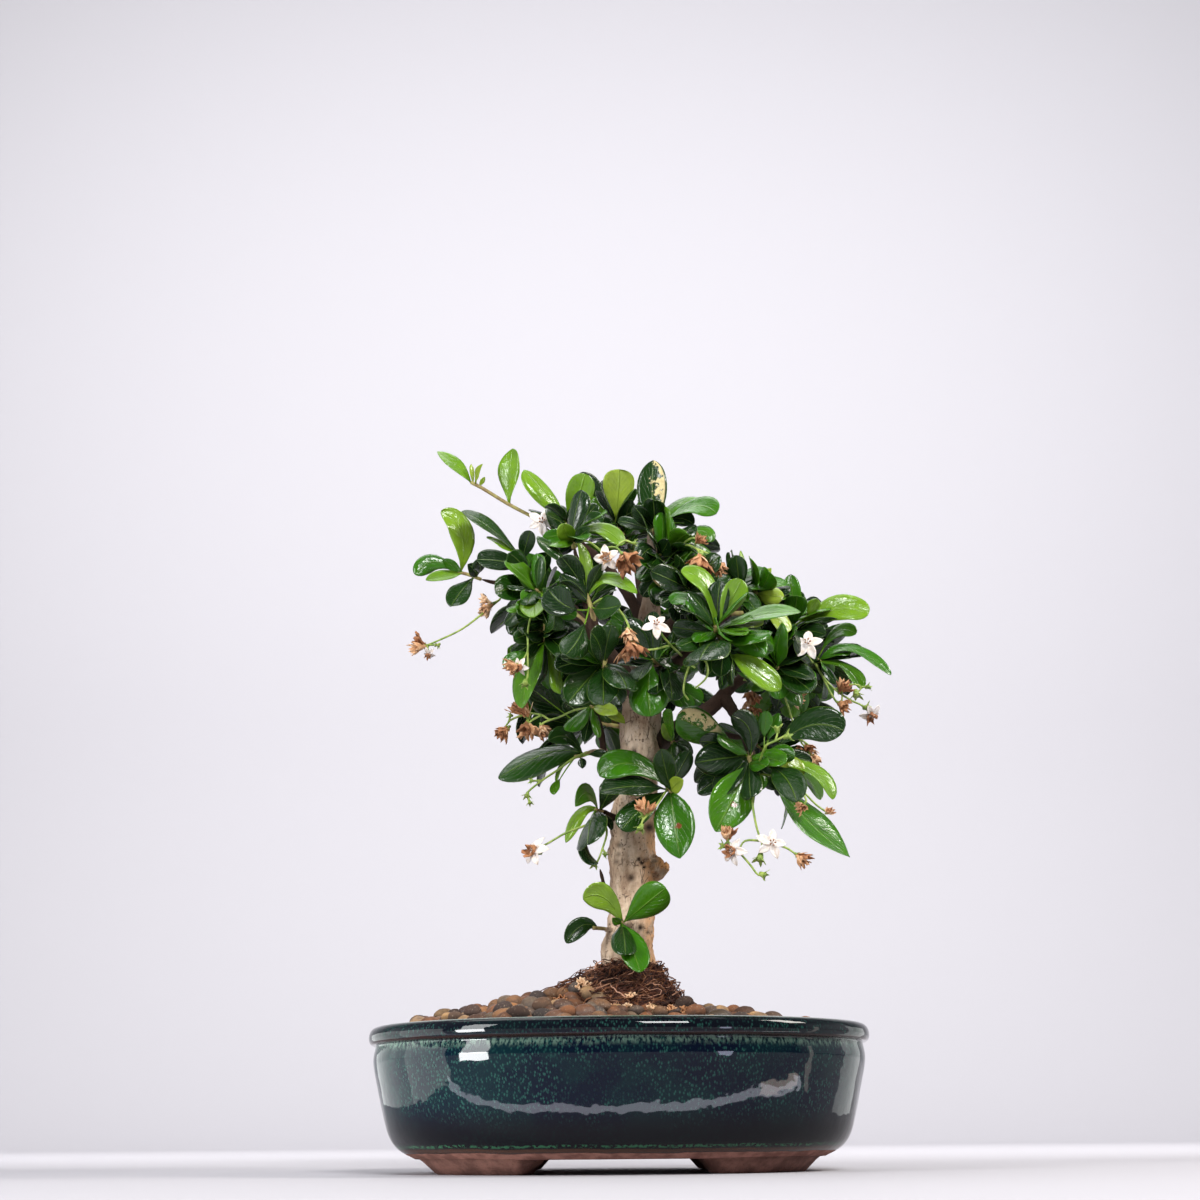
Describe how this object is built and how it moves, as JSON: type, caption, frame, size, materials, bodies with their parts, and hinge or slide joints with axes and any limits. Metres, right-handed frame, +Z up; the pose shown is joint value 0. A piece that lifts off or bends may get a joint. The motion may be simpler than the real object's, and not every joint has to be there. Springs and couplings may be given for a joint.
{
  "type": "potted bonsai tree",
  "caption": "Fukien tea bonsai with a leafy crown and small white flowers, in a glazed oval pot on low feet, with soil and pebbles.",
  "frame": {"origin": "on the surface that the feet stand on, under the middle of all that the piece fills", "axes": "+Z up, front towards -Y, the pot's long side along X"},
  "size_m": [0.2164, 0.1874, 0.3048],
  "materials": {
    "glaze": "glossy, dark teal, unglazed at the foot",
    "soil": "matt, dark brown",
    "pebbles": "smooth river pebbles in browns and greys",
    "root_mound": "fibrous, reddish brown",
    "screen": "matt, black",
    "bark": "rough, grey beige",
    "petal": "soft, white",
    "withered": "dry, brown",
    "calyx": "soft, yellow green",
    "leaf_young": "soft, yellow green",
    "leaf_dark": "waxy, deep green",
    "leaf_light": "waxy, light green",
    "leaf_mid": "waxy, green"
  },
  "bodies": {
    "root": {"pot": "glaze", "soil": "soil", "pebbles": "pebbles", "root_mound": "root_mound", "drain_screen_left": "screen", "drain_screen_right": "screen", "trunk": "bark", "bloom_top_left": "petal", "bloom_top": "withered", "bloom_top_right": "withered", "bloom_centre": "petal", "bloom_centre_left": "withered", "bloom_right": "petal", "bloom_left": "withered", "bloom_left_hanging": "withered", "bloom_low_left": "withered", "bloom_right_inner": "withered", "bloom_foot_left": "withered", "bloom_low_right": "petal", "bloom_low_front": "withered", "bloom_buds_left": "calyx", "bloom_low_back_right": "withered", "bloom_tendrils": "calyx", "leaves_top_left_tip": "leaf_young", "leaves_left_tip": "leaf_dark", "leaves_left_upper": "leaf_dark", "leaves_left_lower": "leaf_dark", "leaves_top_left_mid": "leaf_dark", "leaves_front_top": "leaf_light", "leaves_front_stem": "leaf_dark", "leaves_crown_top": "leaf_dark", "leaves_top_right": "leaf_dark", "leaves_top_right_low": "leaf_dark", "leaves_centre_high": "leaf_dark", "leaves_centre_front": "leaf_dark", "leaves_centre_low": "leaf_dark", "leaves_centre_left_low": "leaf_dark", "leaves_right_top_inner": "leaf_dark", "leaves_right_top_outer": "leaf_young", "leaves_right_upper": "leaf_dark", "leaves_right_tip": "leaf_dark", "leaves_right_low": "leaf_dark", "leaves_low_left_out": "leaf_dark", "leaves_low_left_top": "leaf_mid", "leaves_low_left_foot": "leaf_dark", "leaves_low_front": "leaf_dark", "leaves_low_right_in": "leaf_dark", "leaves_low_right_out": "leaf_mid", "leaves_trunk_right": "leaf_dark", "leaves_sprout": "leaf_mid", "leaves_sprout_left": "leaf_dark", "leaves_back_left_high": "leaf_dark", "leaves_back_left_low": "leaf_dark", "leaves_back_top": "leaf_dark", "leaves_back_middle": "leaf_dark", "leaves_back_right_high": "leaf_dark", "leaves_back_right": "leaf_dark", "leaves_back_right_side": "leaf_dark", "leaves_back_right_low": "leaf_dark", "leaves_back_low": "leaf_dark"}
  },
  "joints": []
}
